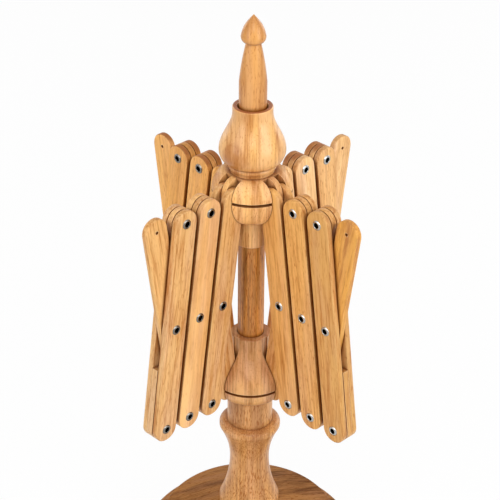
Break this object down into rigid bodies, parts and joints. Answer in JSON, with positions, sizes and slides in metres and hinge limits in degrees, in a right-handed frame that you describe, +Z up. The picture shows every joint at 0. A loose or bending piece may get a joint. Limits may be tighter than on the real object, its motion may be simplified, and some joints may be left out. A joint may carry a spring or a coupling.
{
  "type": "umbrella swift",
  "caption": "Table-top umbrella swift: folding scissor arms of riveted wooden slats open on a hub and a sliding runner, and turn on a post to hold a skein of yarn.",
  "frame": {"origin": "middle of the base's underside", "axes": "+Z up along the post, arms on the diagonals between X and Y"},
  "size_m": [0.21, 0.21, 0.5645],
  "materials": {
    "beech": "oiled, semi-gloss",
    "beech_base": "oiled, semi-gloss",
    "rivet_nickel": "polished nickel plate",
    "wire_steel": "dark drawn wire"
  },
  "bodies": {
    "stand": {"base": "beech_base", "pedestal": "beech", "post": "beech", "finial": "beech"},
    "hub": {"top_hub": "beech", "hub_wire": "wire_steel", "hub_cap": "beech"},
    "arm1_inner_pair": {"arm1_inner_slat_left": "beech", "arm1_inner_slat_right": "beech", "arm1_inner_rivets": "rivet_nickel"},
    "arm1_inner_cross": {"arm1_inner_cross_slat": "beech"},
    "arm1_middle_pair": {"arm1_middle_slat_left": "beech", "arm1_middle_slat_right": "beech", "arm1_middle_rivets": "rivet_nickel"},
    "arm1_middle_cross": {"arm1_middle_cross_slat": "beech"},
    "arm1_outer_pair": {"arm1_outer_slat_left": "beech", "arm1_outer_slat_right": "beech", "arm1_outer_rivets": "rivet_nickel"},
    "arm1_paddle": {"arm1_paddle": "beech"},
    "arm2_inner_pair": {"arm2_inner_slat_left": "beech", "arm2_inner_slat_right": "beech", "arm2_inner_rivets": "rivet_nickel"},
    "arm2_inner_cross": {"arm2_inner_cross_slat": "beech"},
    "arm2_middle_pair": {"arm2_middle_slat_left": "beech", "arm2_middle_slat_right": "beech", "arm2_middle_rivets": "rivet_nickel"},
    "arm2_middle_cross": {"arm2_middle_cross_slat": "beech"},
    "arm2_outer_pair": {"arm2_outer_slat_left": "beech", "arm2_outer_slat_right": "beech", "arm2_outer_rivets": "rivet_nickel"},
    "arm2_paddle": {"arm2_paddle": "beech"},
    "arm3_inner_pair": {"arm3_inner_slat_left": "beech", "arm3_inner_slat_right": "beech", "arm3_inner_rivets": "rivet_nickel"},
    "arm3_inner_cross": {"arm3_inner_cross_slat": "beech"},
    "arm3_middle_pair": {"arm3_middle_slat_left": "beech", "arm3_middle_slat_right": "beech", "arm3_middle_rivets": "rivet_nickel"},
    "arm3_middle_cross": {"arm3_middle_cross_slat": "beech"},
    "arm3_outer_pair": {"arm3_outer_slat_left": "beech", "arm3_outer_slat_right": "beech", "arm3_outer_rivets": "rivet_nickel"},
    "arm3_paddle": {"arm3_paddle": "beech"},
    "arm4_inner_pair": {"arm4_inner_slat_left": "beech", "arm4_inner_slat_right": "beech", "arm4_inner_rivets": "rivet_nickel"},
    "arm4_inner_cross": {"arm4_inner_cross_slat": "beech"},
    "arm4_middle_pair": {"arm4_middle_slat_left": "beech", "arm4_middle_slat_right": "beech", "arm4_middle_rivets": "rivet_nickel"},
    "arm4_middle_cross": {"arm4_middle_cross_slat": "beech"},
    "arm4_outer_pair": {"arm4_outer_slat_left": "beech", "arm4_outer_slat_right": "beech", "arm4_outer_rivets": "rivet_nickel"},
    "arm4_paddle": {"arm4_paddle": "beech"},
    "runner": {"runner": "beech", "runner_wire": "wire_steel"}
  },
  "joints": [
    {"name": "spin", "type": "hinge", "parent": "stand", "child": "hub", "pos_m": [0, 0, 0.4037], "axis": [0, 0, 1], "continuous": true},
    {"name": "open", "type": "hinge", "parent": "hub", "child": "arm1_inner_pair", "pos_m": [0.02135, -0.02135, 0.4037], "axis": [-0.7071, -0.7071, 0], "range_deg": [0, 50.5]},
    {"name": "arm1_middle_rivet_1", "type": "hinge", "parent": "arm1_inner_pair", "child": "arm1_inner_cross", "pos_m": [0.03121, -0.03121, 0.30467], "axis": [0.7071, 0.7071, 0], "range_deg": [0, 101]},
    {"name": "arm1_top_rivet_1", "type": "hinge", "parent": "arm1_inner_cross", "child": "arm1_middle_pair", "pos_m": [0.04106, -0.04106, 0.4037], "axis": [-0.7071, -0.7071, 0], "range_deg": [0, 101]},
    {"name": "arm1_middle_rivet_2", "type": "hinge", "parent": "arm1_middle_pair", "child": "arm1_middle_cross", "pos_m": [0.05092, -0.05092, 0.30467], "axis": [0.7071, 0.7071, 0], "range_deg": [0, 101]},
    {"name": "arm1_top_rivet_2", "type": "hinge", "parent": "arm1_middle_cross", "child": "arm1_outer_pair", "pos_m": [0.06077, -0.06077, 0.4037], "axis": [-0.7071, -0.7071, 0], "range_deg": [0, 101]},
    {"name": "arm1_middle_rivet_3", "type": "hinge", "parent": "arm1_outer_pair", "child": "arm1_paddle", "pos_m": [0.07063, -0.07063, 0.30467], "axis": [0.7071, 0.7071, 0], "range_deg": [0, 101]},
    {"name": "runner_pivot", "type": "hinge", "parent": "arm1_inner_cross", "child": "runner", "pos_m": [0.02135, -0.02135, 0.20565], "axis": [-0.7071, -0.7071, 0], "range_deg": [0, 50.5]},
    {"name": "arm2_hub_pivot", "type": "hinge", "parent": "hub", "child": "arm2_inner_pair", "pos_m": [0.02135, 0.02135, 0.4037], "axis": [0.7071, -0.7071, 0], "range_deg": [0, 50.5]},
    {"name": "arm2_middle_rivet_1", "type": "hinge", "parent": "arm2_inner_pair", "child": "arm2_inner_cross", "pos_m": [0.03121, 0.03121, 0.30467], "axis": [-0.7071, 0.7071, 0], "range_deg": [0, 101]},
    {"name": "arm2_top_rivet_1", "type": "hinge", "parent": "arm2_inner_cross", "child": "arm2_middle_pair", "pos_m": [0.04106, 0.04106, 0.4037], "axis": [0.7071, -0.7071, 0], "range_deg": [0, 101]},
    {"name": "arm2_middle_rivet_2", "type": "hinge", "parent": "arm2_middle_pair", "child": "arm2_middle_cross", "pos_m": [0.05092, 0.05092, 0.30467], "axis": [-0.7071, 0.7071, 0], "range_deg": [0, 101]},
    {"name": "arm2_top_rivet_2", "type": "hinge", "parent": "arm2_middle_cross", "child": "arm2_outer_pair", "pos_m": [0.06077, 0.06077, 0.4037], "axis": [0.7071, -0.7071, 0], "range_deg": [0, 101]},
    {"name": "arm2_middle_rivet_3", "type": "hinge", "parent": "arm2_outer_pair", "child": "arm2_paddle", "pos_m": [0.07063, 0.07063, 0.30467], "axis": [-0.7071, 0.7071, 0], "range_deg": [0, 101]},
    {"name": "arm3_hub_pivot", "type": "hinge", "parent": "hub", "child": "arm3_inner_pair", "pos_m": [-0.02135, 0.02135, 0.4037], "axis": [0.7071, 0.7071, 0], "range_deg": [0, 50.5]},
    {"name": "arm3_middle_rivet_1", "type": "hinge", "parent": "arm3_inner_pair", "child": "arm3_inner_cross", "pos_m": [-0.03121, 0.03121, 0.30467], "axis": [-0.7071, -0.7071, 0], "range_deg": [0, 101]},
    {"name": "arm3_top_rivet_1", "type": "hinge", "parent": "arm3_inner_cross", "child": "arm3_middle_pair", "pos_m": [-0.04106, 0.04106, 0.4037], "axis": [0.7071, 0.7071, 0], "range_deg": [0, 101]},
    {"name": "arm3_middle_rivet_2", "type": "hinge", "parent": "arm3_middle_pair", "child": "arm3_middle_cross", "pos_m": [-0.05092, 0.05092, 0.30467], "axis": [-0.7071, -0.7071, 0], "range_deg": [0, 101]},
    {"name": "arm3_top_rivet_2", "type": "hinge", "parent": "arm3_middle_cross", "child": "arm3_outer_pair", "pos_m": [-0.06077, 0.06077, 0.4037], "axis": [0.7071, 0.7071, 0], "range_deg": [0, 101]},
    {"name": "arm3_middle_rivet_3", "type": "hinge", "parent": "arm3_outer_pair", "child": "arm3_paddle", "pos_m": [-0.07063, 0.07063, 0.30467], "axis": [-0.7071, -0.7071, 0], "range_deg": [0, 101]},
    {"name": "arm4_hub_pivot", "type": "hinge", "parent": "hub", "child": "arm4_inner_pair", "pos_m": [-0.02135, -0.02135, 0.4037], "axis": [-0.7071, 0.7071, 0], "range_deg": [0, 50.5]},
    {"name": "arm4_middle_rivet_1", "type": "hinge", "parent": "arm4_inner_pair", "child": "arm4_inner_cross", "pos_m": [-0.03121, -0.03121, 0.30467], "axis": [0.7071, -0.7071, 0], "range_deg": [0, 101]},
    {"name": "arm4_top_rivet_1", "type": "hinge", "parent": "arm4_inner_cross", "child": "arm4_middle_pair", "pos_m": [-0.04106, -0.04106, 0.4037], "axis": [-0.7071, 0.7071, 0], "range_deg": [0, 101]},
    {"name": "arm4_middle_rivet_2", "type": "hinge", "parent": "arm4_middle_pair", "child": "arm4_middle_cross", "pos_m": [-0.05092, -0.05092, 0.30467], "axis": [0.7071, -0.7071, 0], "range_deg": [0, 101]},
    {"name": "arm4_top_rivet_2", "type": "hinge", "parent": "arm4_middle_cross", "child": "arm4_outer_pair", "pos_m": [-0.06077, -0.06077, 0.4037], "axis": [-0.7071, 0.7071, 0], "range_deg": [0, 101]},
    {"name": "arm4_middle_rivet_3", "type": "hinge", "parent": "arm4_outer_pair", "child": "arm4_paddle", "pos_m": [-0.07063, -0.07063, 0.30467], "axis": [0.7071, -0.7071, 0], "range_deg": [0, 101]}
  ],
  "couplings": [
    {"joint": "arm1_middle_rivet_1", "follows": "open", "ratio": 2},
    {"joint": "arm1_top_rivet_1", "follows": "open", "ratio": 2},
    {"joint": "arm1_middle_rivet_2", "follows": "open", "ratio": 2},
    {"joint": "arm1_top_rivet_2", "follows": "open", "ratio": 2},
    {"joint": "arm1_middle_rivet_3", "follows": "open", "ratio": 2},
    {"joint": "runner_pivot", "follows": "open", "ratio": 1},
    {"joint": "arm2_hub_pivot", "follows": "open", "ratio": 1},
    {"joint": "arm2_middle_rivet_1", "follows": "open", "ratio": 2},
    {"joint": "arm2_top_rivet_1", "follows": "open", "ratio": 2},
    {"joint": "arm2_middle_rivet_2", "follows": "open", "ratio": 2},
    {"joint": "arm2_top_rivet_2", "follows": "open", "ratio": 2},
    {"joint": "arm2_middle_rivet_3", "follows": "open", "ratio": 2},
    {"joint": "arm3_hub_pivot", "follows": "open", "ratio": 1},
    {"joint": "arm3_middle_rivet_1", "follows": "open", "ratio": 2},
    {"joint": "arm3_top_rivet_1", "follows": "open", "ratio": 2},
    {"joint": "arm3_middle_rivet_2", "follows": "open", "ratio": 2},
    {"joint": "arm3_top_rivet_2", "follows": "open", "ratio": 2},
    {"joint": "arm3_middle_rivet_3", "follows": "open", "ratio": 2},
    {"joint": "arm4_hub_pivot", "follows": "open", "ratio": 1},
    {"joint": "arm4_middle_rivet_1", "follows": "open", "ratio": 2},
    {"joint": "arm4_top_rivet_1", "follows": "open", "ratio": 2},
    {"joint": "arm4_middle_rivet_2", "follows": "open", "ratio": 2},
    {"joint": "arm4_top_rivet_2", "follows": "open", "ratio": 2},
    {"joint": "arm4_middle_rivet_3", "follows": "open", "ratio": 2}
  ]
}
